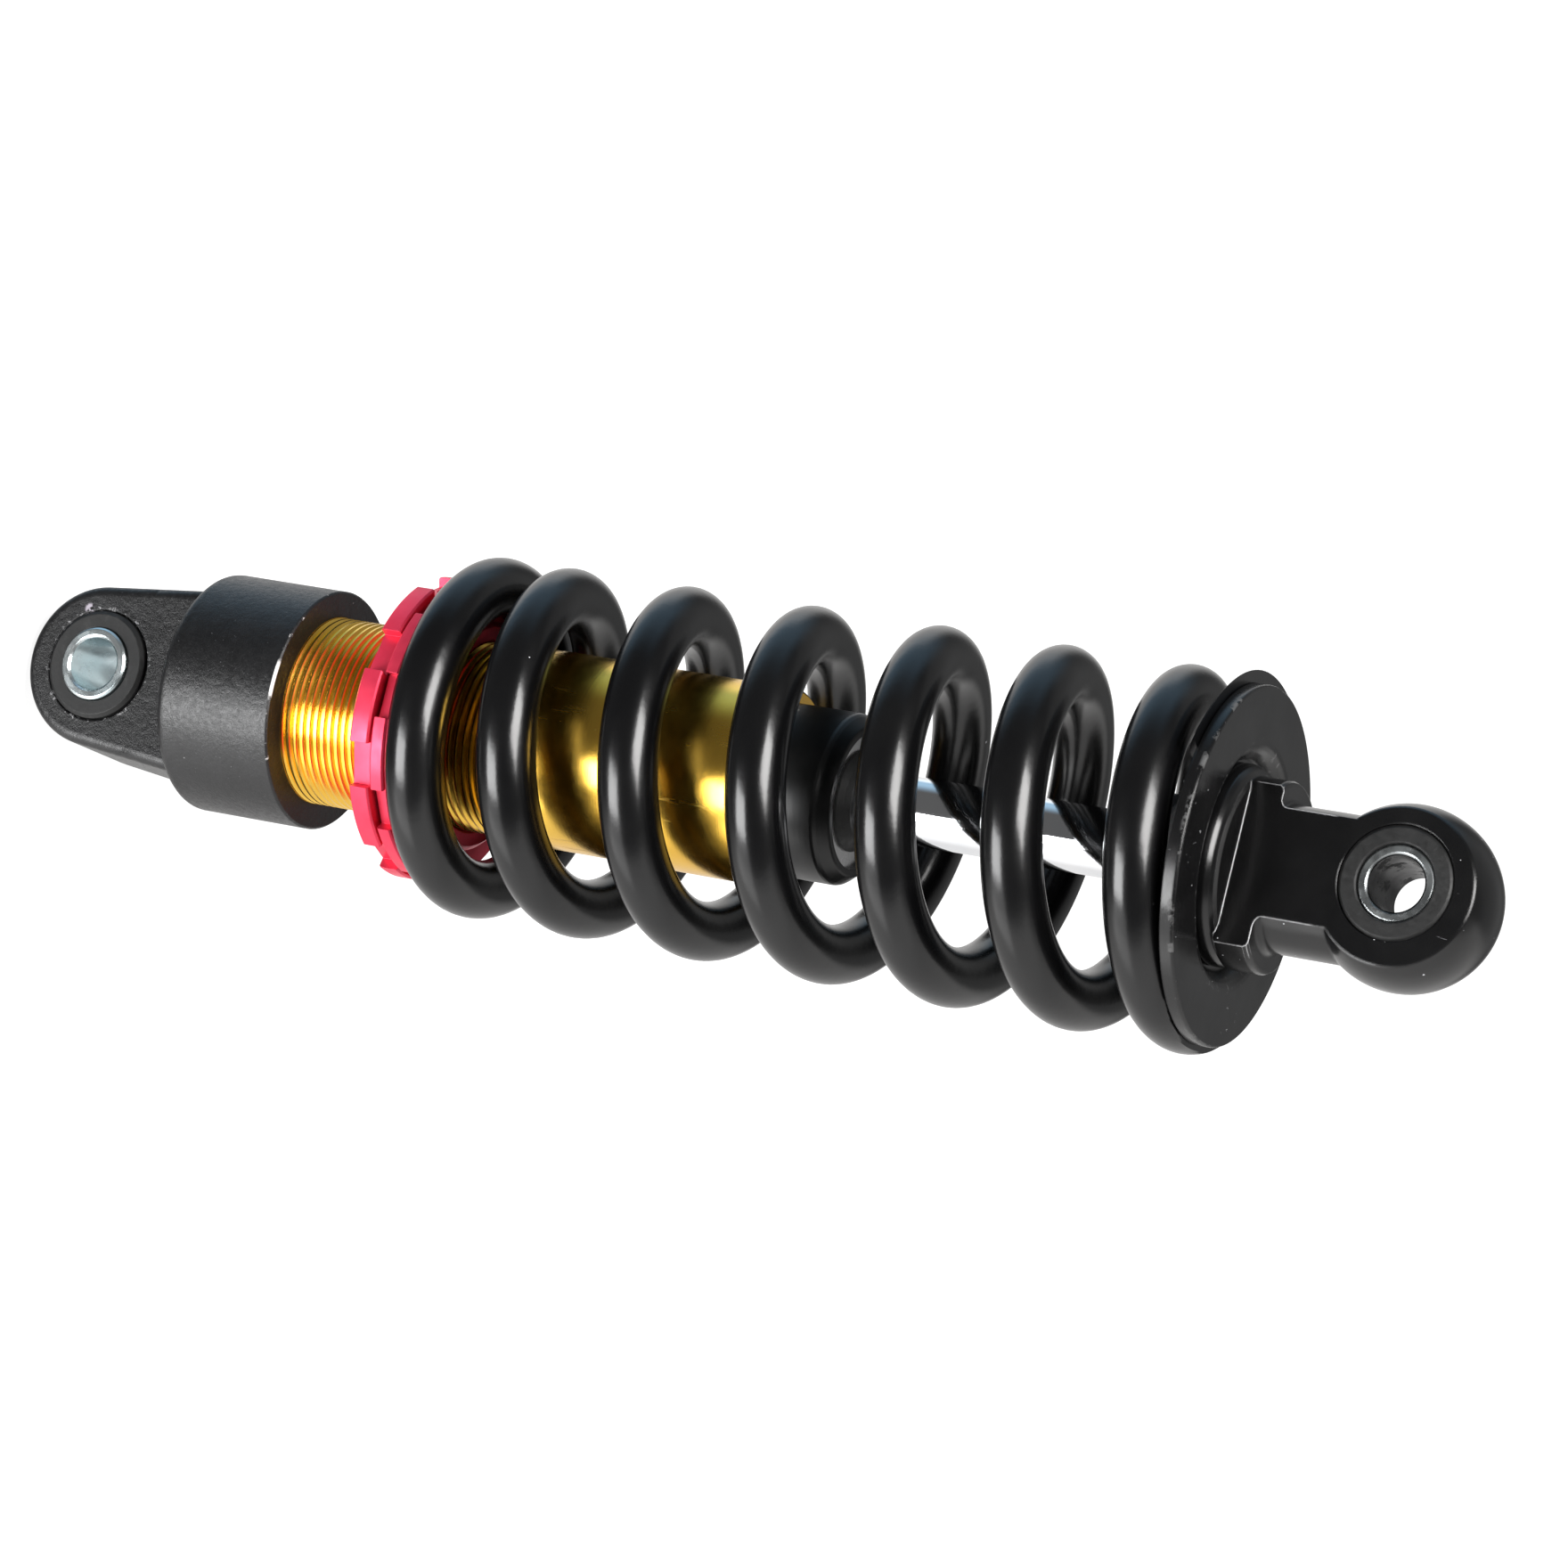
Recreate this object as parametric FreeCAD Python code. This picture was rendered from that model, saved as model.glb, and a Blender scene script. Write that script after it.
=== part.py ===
import FreeCAD, Part
import os
import math

os.makedirs("parts", exist_ok=True)
V = FreeCAD.Vector

# Coilover shock absorber, 264 mm between eye centres.
# Millimetres. Origin: centre of the body eye's bolt hole. +Z runs along the
# damper towards the rod eye. The body eye's hole runs along Y, the rod eye's
# is turned from it by ROD_EYE_TURN.

# ---------------------------------------------------------------- dimensions
EYE_TO_EYE = 264.0

# eye bushes
BOLT_R = 5.1            # hole for an M10 bolt
BOLT_LIP_R = 5.55       # chamfered lip of the hole
SLEEVE_R = 7.05         # steel sleeve outside
SLEEVE_FIT = 0.03       # sleeve to rubber, radial
RUBBER_R = 10.5
BODY_SLEEVE_HALF = 13.8
BODY_RUBBER_HALF = 12.85
ROD_SLEEVE_HALF = 8.75
ROD_RUBBER_HALF = 9.25

# cast end cap on the damper body
LUG_HALF = 11.8         # half thickness of the lug, along Y
LUG_EYE_R = 15.5        # round end, on the -Y face
LUG_EYE_Z = -0.4        # centre of the round end
LUG_ROOT_HALF_X = 18.0  # half width where the lug meets the cup, on the -Y face
LUG_DRAFT = 0.9         # how much larger the +Y face is
LUG_ROOT_DRAFT = 1.5
CUP_R = 22.95
CUP_Z0 = 20.5
CUP_RIM_R = 2.0         # rounded rim on the lug side
CUP_Z1 = 45.5
SOCKET_Z = 29.0         # floor of the threaded socket

# threaded sleeve, M36 x 1.5
THREAD_R = 17.95
THREAD_ROOT_R = 17.3
THREAD_PITCH = 1.5
THREAD_Z0 = 45.5
THREAD_Z1 = 91.3
SOCKET_R = 18.0
PLAIN_R = 18.45
PLAIN_Z0 = 92.0
SLEEVE_END_Z = 142.0
SLEEVE_BORE_R = 16.0

# damper tube and what closes it
TUBE_R = 15.9
TUBE_BORE_R = 14.0
TUBE_ROLL_Z = 156.0
TUBE_END_Z = 158.4
TUBE_MOUTH_R = 12.6
HEAD_Z0 = 146.0
HEAD_Z1 = 157.0

# rod and piston
ROD_R = 6.25
ROD_FIT = 0.03
ROD_SHOULDER_Z = 138.0
ROD_STUD_R = 4.0
ROD_TIP_Z = 118.8
ROD_TOP_Z = 230.4
ROD_THREAD_R = 6.0
ROD_END_Z = 246.0
PISTON_Z0 = 127.0
PISTON_Z1 = 136.6
PISTON_R = 13.6
BAND_R = 13.95
BAND_GROOVE_R = 12.9

# castellated rings on the thread
RING_BORE_R = 18.04
RING_R = 28.75
RING_HUB_R = 26.4       # bottom of the spanner slots
RING_SLOTS = 8
SLOT_W = 8.6
LOCK_Z0, LOCK_Z1 = 66.7, 70.7
ADJ_Z0, ADJ_Z1 = 71.2, 74.1
LOCK_SLOT_PHASE = 69.0  # degrees from -X towards -Y
ADJ_SLOT_PHASE = 86.4

# upper spring seat
SEAT_UP_Z0, SEAT_UP_Z1 = 74.15, 75.3
SEAT_UP_R = 27.8
PILOT_R = 21.8
PILOT_Z1 = 79.0

# lower spring seat (pressed steel dish)
SEAT_LO_R = 32.4
SEAT_LO_Z0, SEAT_LO_Z1 = 230.3, 233.05
DISH_Z0, DISH_Z1 = 227.2, 230.0
DISH_PILOT_R = 22.3
DISH_BORE_R = 6.7

# coil spring
WIRE_R = 5.5
COIL_R = 28.5
GROUND_Z0 = SEAT_UP_Z1 + 0.02
GROUND_Z1 = SEAT_LO_Z0 - 0.02
# centreline height against the winding angle, in half turns from the -X side,
# winding -X, -Y, +X, +Y as Z rises (right-handed)
COIL_Z = [(-0.55, 75.9), (0.0, 78.6), (1.0, 82.5), (2.0, 92.8), (3.0, 105.0),
          (4.0, 117.5), (5.0, 130.2), (6.0, 143.1), (7.0, 156.0), (8.0, 168.9),
          (9.0, 181.2), (10.0, 193.4), (11.0, 205.7), (12.0, 217.9),
          (13.0, 227.2), (14.0, 233.7), (14.33, 234.2)]
COIL_FLARE_START = 12.6  # half turns; the last coil opens out a little
COIL_FLARE = 2.0

# rod end eye (forging)
EYE_FACE_HALF = 9.1    # half distance between the flat faces, along Y
EYE_FACE_R = 14.4
EYE_MAX_R = 16.6
FLANGE_R = 18.2
FLANGE_Z0, FLANGE_Z1 = 230.03, 234.2
COLLAR_R = 17.3
COLLAR_Z1 = 240.4
EYE_OFFSET_X = 0.7      # the forging sits this far off the bore
NECK_HALF_X = 13.2
NECK_EDGE_X = 9.9
ROD_EYE_TURN = 5.2      # degrees the rod eye's bore is turned from +Y towards +X

# bump stop
BUMP_R = 12.4
BUMP_Z0, BUMP_Z1 = 215.0, 227.1


# ------------------------------------------------------------------- helpers
def cyl(r, z0, z1):
    return Part.makeCylinder(r, z1 - z0, V(0, 0, z0), V(0, 0, 1))


def ycyl(r, half, z=0.0):
    return Part.makeCylinder(r, 2 * half, V(0, -half, z), V(0, 1, 0))


def box(x0, x1, y0, y1, z0, z1):
    return Part.makeBox(x1 - x0, y1 - y0, z1 - z0, V(x0, y0, z0))


def lathe(points):
    """Solid of revolution about Z from a closed (radius, z) outline."""
    pts = [V(r, 0, z) for r, z in points]
    pts.append(pts[0])
    face = Part.Face(Part.makePolygon(pts))
    solid = face.revolve(V(0, 0, 0), V(0, 0, 1), 360)
    return solid


def lathe_wire(edges):
    face = Part.Face(Part.Wire(edges))
    return face.revolve(V(0, 0, 0), V(0, 0, 1), 360)


def ylathe(points, z):
    """Solid of revolution about the line through (0, *, z) along Y, from an
    outline of (radius, y)."""
    pts = [V(r, y, z) for r, y in points]
    pts.append(pts[0])
    face = Part.Face(Part.makePolygon(pts))
    return face.revolve(V(0, 0, z), V(0, 1, 0), 360)


def solid_of(shape):
    s = shape.removeSplitter() if len(shape.Solids) == 1 else shape
    if len(s.Solids) == 1:
        return s.Solids[0]
    return s


def save(name, shape):
    shape = solid_of(shape)
    assert shape.isValid(), name
    assert shape.Volume > 0.5, name
    shape.exportStep("parts/%s.step" % name)
    b = shape.BoundBox
    print("%-24s solids %d  vol %9.1f  x %.2f..%.2f  y %.2f..%.2f  z %.2f..%.2f" % (
        name, len(shape.Solids), shape.Volume, b.XMin, b.XMax, b.YMin, b.YMax, b.ZMin, b.ZMax))


def try_fillet(shape, radius, edges):
    try:
        out = shape.makeFillet(radius, edges)
        if out.isValid() and out.Volume > 0.5 * shape.Volume and len(out.Solids) == 1:
            return out
    except Exception as err:
        print("fillet skipped:", err)
    return shape


# --------------------------------------------------------------- end cap
def make_body_end_cap():
    # lug outlines in XZ: round eye, sides opening towards the cup. Cast with
    # draft, so the +Y face is a little larger than the -Y one.
    zr = CUP_Z0 + 3.0
    outlines = []
    for y, r, xr in ((-LUG_HALF, LUG_EYE_R, LUG_ROOT_HALF_X),
                     (LUG_HALF, LUG_EYE_R + LUG_DRAFT, LUG_ROOT_HALF_X + LUG_ROOT_DRAFT)):
        # tangent from (xr, zr) to the round end
        dz = zr - LUG_EYE_Z
        a = math.atan2(dz, xr) - math.acos(r / math.hypot(xr, dz))
        tx, tz = r * math.cos(a), LUG_EYE_Z + r * math.sin(a)
        p1, p2, p3 = V(xr, y, zr), V(tx, y, tz), V(0, y, LUG_EYE_Z - r)
        p4, p5 = V(-tx, y, tz), V(-xr, y, zr)
        outlines.append(Part.Wire([Part.makeLine(p1, p2),
                                   Part.Arc(p2, p3, p4).toShape(),
                                   Part.makeLine(p4, p5),
                                   Part.makeLine(p5, p1)]))
    lug = Part.makeLoft(outlines, True, True)
    outline = [e for e in lug.Edges
               if abs(abs(e.CenterOfMass.y) - LUG_HALF) < 1e-6
               and e.BoundBox.ZMin < CUP_Z0 - 1 and e.BoundBox.ZMax <= zr + 1e-6
               and not (abs(e.BoundBox.ZMin - zr) < 1e-6)]
    lug = try_fillet(lug, 2.0, outline)
    xr = LUG_ROOT_HALF_X
    # the lug continues inside the cup wall
    inner = box(-xr, xr, -LUG_HALF, LUG_HALF, zr - 0.01, SOCKET_Z)
    rim = [(CUP_R - CUP_RIM_R * (1 - math.sin(math.radians(a))),
            CUP_Z0 + CUP_RIM_R * (1 - math.cos(math.radians(a)))) for a in range(0, 91, 15)]
    cup = lathe([(0, CUP_Z0)] + rim + [(CUP_R, CUP_Z1 - 0.35),
                 (CUP_R - 0.35, CUP_Z1), (0, CUP_Z1)])
    cap = cup.fuse(lug).fuse(inner)
    cap = cap.removeSplitter()
    cap = cap.cut(ycyl(RUBBER_R, 30))
    for s in (-1, 1):
        ch = Part.makeCone(RUBBER_R, RUBBER_R + 0.5, 0.5,
                           V(0, s * (LUG_HALF - 0.5), 0), V(0, s, 0))
        cap = cap.cut(ch)
    cap = cap.cut(cyl(SOCKET_R, SOCKET_Z, CUP_Z1 + 1))
    return cap


# ------------------------------------------------------------------ bushes
def make_rubber(half, z):
    e = 0.7
    return ylathe([(SLEEVE_R + SLEEVE_FIT, -half + 0.25), (SLEEVE_R + SLEEVE_FIT + 0.25, -half),
                   (RUBBER_R - e, -half), (RUBBER_R, -half + e),
                   (RUBBER_R, half - e), (RUBBER_R - e, half),
                   (SLEEVE_R + SLEEVE_FIT + 0.25, half), (SLEEVE_R + SLEEVE_FIT, half - 0.25)], z)


def make_sleeve(half, z):
    lip = BOLT_LIP_R - BOLT_R
    return ylathe([(BOLT_R, -half + lip), (BOLT_LIP_R, -half), (SLEEVE_R - 0.4, -half),
                   (SLEEVE_R, -half + 0.4), (SLEEVE_R, half - 0.4), (SLEEVE_R - 0.4, half),
                   (BOLT_LIP_R, half), (BOLT_R, half - lip)], z)


# ---------------------------------------------------------- threaded sleeve
def make_threaded_sleeve():
    pts = [(SLEEVE_BORE_R, SOCKET_Z), (SOCKET_R - 0.5, SOCKET_Z), (SOCKET_R, SOCKET_Z + 0.5),
           (SOCKET_R, THREAD_Z0)]
    z = THREAD_Z0
    pts.append((THREAD_R, z))
    n = int((THREAD_Z1 - THREAD_Z0) / THREAD_PITCH)
    for i in range(n):
        z0 = THREAD_Z0 + i * THREAD_PITCH
        pts += [(THREAD_R, z0 + 0.30), (THREAD_ROOT_R, z0 + 0.78),
                (THREAD_ROOT_R, z0 + 0.92), (THREAD_R, z0 + 1.40)]
    pts += [(THREAD_R, PLAIN_Z0 - 0.75), (THREAD_R - 0.35, PLAIN_Z0 - 0.5),
            (THREAD_R - 0.35, PLAIN_Z0 - 0.1), (PLAIN_R - 0.3, PLAIN_Z0),
            (PLAIN_R, PLAIN_Z0 + 0.3), (PLAIN_R, SLEEVE_END_Z - 0.5),
            (PLAIN_R - 0.5, SLEEVE_END_Z), (SLEEVE_BORE_R, SLEEVE_END_Z)]
    return lathe(pts)


# ---------------------------------------------------------------- damper
def make_damper_tube():
    return lathe([(TUBE_BORE_R, SOCKET_Z), (TUBE_R, SOCKET_Z), (TUBE_R, TUBE_ROLL_Z - 0.6),
                  (TUBE_R - 0.12, TUBE_ROLL_Z - 0.1), (TUBE_R - 0.5, TUBE_ROLL_Z + 0.5),
                  (TUBE_MOUTH_R + 1.4, TUBE_END_Z - 0.12), (TUBE_MOUTH_R + 1.0, TUBE_END_Z),
                  (TUBE_MOUTH_R, TUBE_END_Z), (TUBE_MOUTH_R, HEAD_Z1),
                  (TUBE_MOUTH_R + 0.4, HEAD_Z1), (TUBE_BORE_R, HEAD_Z1 - 1.0)])


def make_tube_base():
    return lathe([(0, SOCKET_Z), (TUBE_BORE_R, SOCKET_Z), (TUBE_BORE_R, SOCKET_Z + 5.0),
                  (TUBE_BORE_R - 1.0, SOCKET_Z + 6.0), (0, SOCKET_Z + 6.0)])


BUSH_R = 7.8
SEAL_R = 10.6
WIPER_R = 9.4
ROD_HOLE = ROD_R + ROD_FIT


def make_seal_head():
    body = lathe([(6.7, HEAD_Z0), (TUBE_BORE_R - 0.6, HEAD_Z0), (TUBE_BORE_R, HEAD_Z0 + 0.6),
                  (TUBE_BORE_R, HEAD_Z1 - 1.0), (TUBE_MOUTH_R + 0.4, HEAD_Z1), (6.7, HEAD_Z1)])
    body = body.cut(cyl(BUSH_R, HEAD_Z0 + 0.8, HEAD_Z0 + 6.4))
    body = body.cut(cyl(SEAL_R, HEAD_Z0 + 6.8, HEAD_Z0 + 9.4))
    body = body.cut(cyl(WIPER_R, HEAD_Z0 + 9.4, HEAD_Z1 + 1))
    groove = cyl(TUBE_BORE_R + 1, HEAD_Z0 + 3.0, HEAD_Z0 + 5.2).cut(
        cyl(TUBE_BORE_R - 1.6, HEAD_Z0 + 2.0, HEAD_Z0 + 6.0))
    return body.cut(groove)


def make_rod_guide_bush():
    return lathe([(ROD_HOLE, HEAD_Z0 + 0.8), (BUSH_R, HEAD_Z0 + 0.8),
                  (BUSH_R, HEAD_Z0 + 6.4), (ROD_HOLE, HEAD_Z0 + 6.4)])


def make_rod_oil_seal():
    z0, z1 = HEAD_Z0 + 6.8, HEAD_Z0 + 9.4
    return lathe([(ROD_HOLE, z0 + 0.9), (7.3, z0), (SEAL_R, z0), (SEAL_R, z1),
                  (ROD_HOLE + 0.4, z1), (ROD_HOLE, z1 - 0.4)])


def make_rod_wiper():
    z0 = HEAD_Z0 + 9.4
    return lathe([(ROD_HOLE + 0.5, z0), (WIPER_R, z0), (WIPER_R, HEAD_Z1 + 0.5),
                  (WIPER_R - 1.2, HEAD_Z1 + 1.5), (ROD_HOLE + 0.7, HEAD_Z1 + 2.2),
                  (ROD_HOLE, HEAD_Z1 + 2.2), (ROD_HOLE, HEAD_Z1 + 1.2)])


def make_seal_head_o_ring():
    return lathe([(TUBE_BORE_R - 1.6, HEAD_Z0 + 3.0), (TUBE_BORE_R, HEAD_Z0 + 3.0),
                  (TUBE_BORE_R, HEAD_Z0 + 5.2), (TUBE_BORE_R - 1.6, HEAD_Z0 + 5.2)])


def make_seal_head_stop_ring():
    return lathe([(TUBE_BORE_R - 1.2, HEAD_Z0 - 1.4), (TUBE_BORE_R, HEAD_Z0 - 1.4),
                  (TUBE_BORE_R, HEAD_Z0), (TUBE_BORE_R - 1.2, HEAD_Z0)])


def make_damper_rod():
    return lathe([(0, ROD_TIP_Z), (ROD_STUD_R - 0.6, ROD_TIP_Z), (ROD_STUD_R, ROD_TIP_Z + 0.6),
                  (ROD_STUD_R, ROD_SHOULDER_Z), (ROD_R, ROD_SHOULDER_Z), (ROD_R, ROD_TOP_Z),
                  (ROD_THREAD_R, ROD_TOP_Z + 0.25), (ROD_THREAD_R, ROD_END_Z - 0.8),
                  (ROD_THREAD_R - 0.8, ROD_END_Z), (0, ROD_END_Z)])


def make_piston():
    body = lathe([(ROD_STUD_R, PISTON_Z0), (PISTON_R - 0.5, PISTON_Z0), (PISTON_R, PISTON_Z0 + 0.5),
                  (PISTON_R, PISTON_Z0 + 2.8), (BAND_GROOVE_R, PISTON_Z0 + 2.8),
                  (BAND_GROOVE_R, PISTON_Z0 + 6.8), (PISTON_R, PISTON_Z0 + 6.8),
                  (PISTON_R, PISTON_Z1 - 0.5), (PISTON_R - 0.5, PISTON_Z1),
                  (ROD_STUD_R, PISTON_Z1)])
    for i in range(6):
        a = math.radians(60 * i)
        hole = Part.makeCylinder(1.4, 20, V(7.6 * math.cos(a), 7.6 * math.sin(a), PISTON_Z0 - 5), V(0, 0, 1))
        body = body.cut(hole)
    return body


def make_piston_band():
    return lathe([(BAND_GROOVE_R, PISTON_Z0 + 2.8), (BAND_R, PISTON_Z0 + 2.8),
                  (BAND_R, PISTON_Z0 + 6.8), (BAND_GROOVE_R, PISTON_Z0 + 6.8)])


def stack(z, sign, radii, t):
    out = []
    for i, r in enumerate(radii):
        a = z + sign * i * t
        b = z + sign * (i + 1) * t
        lo, hi = min(a, b), max(a, b)
        out.append(cyl(r, lo, hi).cut(cyl(ROD_STUD_R, lo - 1, hi + 1)))
    return Part.makeCompound(out)


def make_piston_nut():
    af = 13.0
    rc = af / math.sqrt(3.0)
    z0, z1 = 119.6, PISTON_Z0 - 1.2
    pts = [V(rc * math.cos(math.radians(60 * i)), rc * math.sin(math.radians(60 * i)), z0) for i in range(7)]
    hexa = Part.Face(Part.makePolygon(pts)).extrude(V(0, 0, z1 - z0))
    shape = hexa.cut(cyl(ROD_STUD_R, z0 - 1, z1 + 1))
    crown = lathe([(0, z0 - 0.001), (af / 2 - 0.1, z0 - 0.001), (rc + 0.2, z0 + 0.75), (rc + 0.2, z1 + 1), (0, z1 + 1)])
    return shape.common(crown)


def make_top_out_bumper():
    z0, z1 = ROD_SHOULDER_Z, HEAD_Z0 - 1.8
    return lathe([(ROD_R, z0), (11.2, z0), (12.0, z0 + 0.8), (12.0, z1 - 0.8), (11.2, z1), (ROD_R, z1)])


def make_bump_stop():
    return lathe([(ROD_R, BUMP_Z0), (BUMP_R - 3.4, BUMP_Z0), (BUMP_R - 2.2, BUMP_Z0 + 0.5),
                  (BUMP_R - 1.6, BUMP_Z0 + 1.6), (BUMP_R - 1.6, BUMP_Z0 + 4.0),
                  (BUMP_R - 2.6, BUMP_Z0 + 5.0), (BUMP_R - 2.6, BUMP_Z0 + 5.6),
                  (BUMP_R - 1.0, BUMP_Z0 + 6.8), (BUMP_R, BUMP_Z0 + 8.0),
                  (BUMP_R, BUMP_Z1 - 0.7), (BUMP_R - 0.7, BUMP_Z1), (ROD_R, BUMP_Z1)])


# ----------------------------------------------------------------- rings
def castellated(z0, z1, phase):
    c = 0.35
    body = lathe([(RING_BORE_R + 0.25, z0), (RING_R - c, z0), (RING_R, z0 + c),
                  (RING_R, z1 - c), (RING_R - c, z1), (RING_BORE_R + 0.25, z1),
                  (RING_BORE_R, z1 - 0.25), (RING_BORE_R, z0 + 0.25)])
    for i in range(RING_SLOTS):
        a = math.radians(phase + 360.0 * i / RING_SLOTS)
        slot = Part.makeBox(10, SLOT_W, z1 - z0 + 2, V(RING_HUB_R, -SLOT_W / 2, z0 - 1))
        # phase is measured from -X towards -Y
        slot.rotate(V(0, 0, 0), V(0, 0, 1), 180.0 + math.degrees(a))
        body = body.cut(slot)
    return body


def make_upper_spring_seat():
    c = 0.3
    return lathe([(RING_BORE_R, SEAT_UP_Z0), (SEAT_UP_R - c, SEAT_UP_Z0), (SEAT_UP_R, SEAT_UP_Z0 + c),
                  (SEAT_UP_R, SEAT_UP_Z1 - c), (SEAT_UP_R - c, SEAT_UP_Z1), (PILOT_R, SEAT_UP_Z1),
                  (PILOT_R, PILOT_Z1 - 1.0), (PILOT_R - 1.0, PILOT_Z1), (RING_BORE_R + 0.4, PILOT_Z1),
                  (RING_BORE_R, PILOT_Z1 - 0.4)])


def make_lower_spring_seat():
    return lathe([(DISH_BORE_R, DISH_Z0), (DISH_PILOT_R - 2.0, DISH_Z0), (DISH_PILOT_R - 0.6, DISH_Z0 + 0.6),
                  (DISH_PILOT_R, DISH_Z0 + 1.8), (DISH_PILOT_R, SEAT_LO_Z0),
                  (SEAT_LO_R - 0.3, SEAT_LO_Z0), (SEAT_LO_R, SEAT_LO_Z0 + 0.3),
                  (SEAT_LO_R, SEAT_LO_Z1 - 0.45), (SEAT_LO_R - 0.12, SEAT_LO_Z1 - 0.14),
                  (SEAT_LO_R - 0.45, SEAT_LO_Z1),
                  (22.6, SEAT_LO_Z1), (21.7, SEAT_LO_Z1 - 0.15), (20.9, SEAT_LO_Z1 - 0.6),
                  (20.2, SEAT_LO_Z1 - 1.3), (19.6, DISH_Z1 + 0.9), (19.1, DISH_Z1 + 0.25),
                  (18.7, DISH_Z1), (DISH_BORE_R, DISH_Z1)])


# ----------------------------------------------------------- rod end eye
def arc3(a, b, c):
    return Part.Arc(a, b, c).toShape()


def make_rod_end_eye():
    h = EYE_FACE_HALF
    z = EYE_TO_EYE
    # barrel eye, turned about the bolt axis
    e = 0.35
    prof = Part.Wire([
        Part.makeLine(V(0, -h, z), V(EYE_FACE_R - e, -h, z)),
        Part.makeLine(V(EYE_FACE_R - e, -h, z), V(EYE_FACE_R + 0.05, -h + e, z)),
        arc3(V(EYE_FACE_R + 0.05, -h + e, z), V(EYE_MAX_R, 0, z), V(EYE_FACE_R + 0.05, h - e, z)),
        Part.makeLine(V(EYE_FACE_R + 0.05, h - e, z), V(EYE_FACE_R - e, h, z)),
        Part.makeLine(V(EYE_FACE_R - e, h, z), V(0, h, z)),
        Part.makeLine(V(0, h, z), V(0, -h, z))])
    eye = Part.Face(prof).revolve(V(0, 0, z), V(0, 1, 0), 360)
    eye.translate(V(EYE_OFFSET_X, 0, 0))
    # neck: flat at +-Y, bowed at +-X
    z0, z1 = COLLAR_Z1 - 2.0, z - 4.0
    n = NECK_EDGE_X
    m = NECK_HALF_X
    c = EYE_OFFSET_X + 0.3
    neck_wire = Part.Wire([
        Part.makeLine(V(-n, -h, z0), V(n, -h, z0)),
        arc3(V(n, -h, z0), V(c + m, 0, z0), V(n, h, z0)),
        Part.makeLine(V(n, h, z0), V(-n, h, z0)),
        arc3(V(-n, h, z0), V(c - m, 0, z0), V(-n, -h, z0))])
    neck = Part.Face(neck_wire).extrude(V(0, 0, z1 - z0))
    collar = lathe([(0, FLANGE_Z1 - 0.5), (COLLAR_R - 0.4, FLANGE_Z1 - 0.5), (COLLAR_R, FLANGE_Z1 - 0.1),
                    (COLLAR_R, COLLAR_Z1 - 0.9), (COLLAR_R - 0.3, COLLAR_Z1 - 0.25),
                    (COLLAR_R - 0.9, COLLAR_Z1), (0, COLLAR_Z1)])
    collar.translate(V(c, 0, 0))
    collar = collar.common(box(-30, 30, -h, h, 200, 300))
    flange = lathe([(0, FLANGE_Z0), (FLANGE_R - 0.5, FLANGE_Z0), (FLANGE_R, FLANGE_Z0 + 0.5),
                    (FLANGE_R, FLANGE_Z1 - 2.6), (FLANGE_R - 0.2, FLANGE_Z1 - 1.6),
                    (FLANGE_R - 0.8, FLANGE_Z1 - 0.8), (FLANGE_R - 1.7, FLANGE_Z1 - 0.25),
                    (FLANGE_R - 2.8, FLANGE_Z1), (0, FLANGE_Z1)])
    body = eye.fuse([neck, collar, flange]).removeSplitter()
    # blended corners where the neck's bowed sides meet the collar
    edges = []
    for ed in body.Edges:
        b = ed.BoundBox
        if abs(b.ZMin - COLLAR_Z1) < 0.02 and abs(b.ZMax - COLLAR_Z1) < 0.02 and b.YLength > 15:
            if abs(abs(ed.CenterOfMass.x - c) - m) < 2.0:
                edges.append(ed)
    if edges:
        body = try_fillet(body, 1.3, edges)
    body = body.cut(ycyl(RUBBER_R, 30, z))
    body = body.cut(cyl(ROD_THREAD_R, FLANGE_Z0 - 1, ROD_END_Z))
    body = body.cut(lathe([(0, FLANGE_Z0 - 1), (ROD_R, FLANGE_Z0 - 1), (ROD_R, ROD_TOP_Z),
                           (ROD_THREAD_R, ROD_TOP_Z + 0.25), (0, ROD_TOP_Z + 0.25)]))
    return body


# ---------------------------------------------------------------- spring
def coil_z(t):
    """Monotone cubic through COIL_Z; t in half turns."""
    pts = COIL_Z
    n = len(pts)
    h = [pts[i + 1][0] - pts[i][0] for i in range(n - 1)]
    d = [(pts[i + 1][1] - pts[i][1]) / h[i] for i in range(n - 1)]
    m = [d[0]] + [0.0] * (n - 2) + [d[-1]]
    for i in range(1, n - 1):
        w1, w2 = 2 * h[i] + h[i - 1], h[i] + 2 * h[i - 1]
        m[i] = (w1 + w2) / (w1 / d[i - 1] + w2 / d[i])
    i = 0
    while i < n - 2 and t > pts[i + 1][0]:
        i += 1
    s = (t - pts[i][0]) / h[i]
    a, b = pts[i][1], pts[i + 1][1]
    return ((1 + 2 * s) * (1 - s) ** 2 * a + s * (1 - s) ** 2 * h[i] * m[i]
            + s * s * (3 - 2 * s) * b + s * s * (s - 1) * h[i] * m[i + 1])


def coil_r(t):
    if t <= COIL_FLARE_START:
        return COIL_R
    u = min(1.0, (t - COIL_FLARE_START) / (14.0 - COIL_FLARE_START))
    return COIL_R + COIL_FLARE * u * u * (3 - 2 * u)


def coil_point(t):
    a = math.pi * t
    r = coil_r(t)
    return V(-r * math.cos(a), -r * math.sin(a), coil_z(t))


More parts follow.
